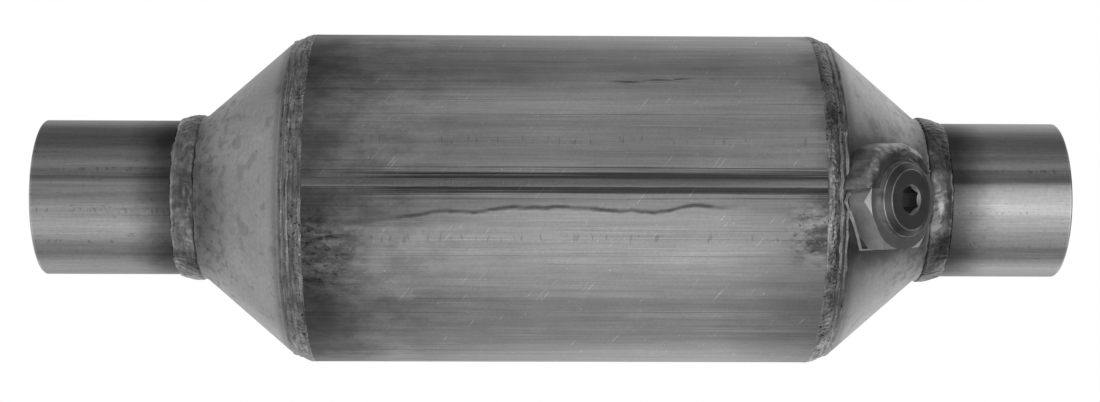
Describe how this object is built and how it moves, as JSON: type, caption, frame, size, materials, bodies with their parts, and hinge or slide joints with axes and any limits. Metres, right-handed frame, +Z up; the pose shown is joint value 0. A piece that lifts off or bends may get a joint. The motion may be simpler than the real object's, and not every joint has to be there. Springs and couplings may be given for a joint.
{
  "type": "catalytic converter",
  "caption": "Round bare-steel catalytic converter with welded end cones, pipe stubs for a 2 inch exhaust and a plugged sensor port, holding ceramic honeycomb bricks.",
  "frame": {"origin": "centre of the inlet pipe's open end, on the converter's axis", "axes": "+X along the axis, the way the exhaust gas flows, from the inlet to the outlet; +Z up; the sensor port on the outlet cone faces -Y"},
  "size_m": [0.3525, 0.1188, 0.1144],
  "materials": {
    "pipe_steel": "bare stainless tube with fine drawing lines and heat tint by the welds",
    "cone_steel": "bare spun stainless, satin, darker by the welds",
    "shell_steel": "bare rolled stainless with long grain and light scuffs",
    "seam_weld": "rolled seam weld, darkened along both edges",
    "weld_metal": "rough rippled weld bead with dark pits and bright patches",
    "ceramic_cells": "matt washcoated cordierite",
    "fibre_mat": "pressed ceramic fibre mat",
    "wire_mesh": "compressed knitted stainless wire",
    "machined_steel": "machined bright steel",
    "plug_steel": "turned dark steel",
    "gasket_steel": "dull crush washer"
  },
  "bodies": {
    "root": {"inlet_pipe": "pipe_steel", "outlet_pipe": "pipe_steel", "inlet_cone": "cone_steel", "outlet_cone": "cone_steel", "shell_tube": "shell_steel", "shell_seam_weld": "seam_weld", "inlet_body_weld": "weld_metal", "outlet_body_weld": "weld_metal", "inlet_neck_weld": "weld_metal", "outlet_neck_weld": "weld_metal", "sensor_bung_weld": "weld_metal", "front_brick": "ceramic_cells", "rear_brick": "ceramic_cells", "front_mat": "fibre_mat", "rear_mat": "fibre_mat", "front_end_seal": "wire_mesh", "rear_end_seal": "wire_mesh", "sensor_bung": "machined_steel", "port_plug": "plug_steel", "plug_gasket": "gasket_steel"}
  },
  "joints": []
}
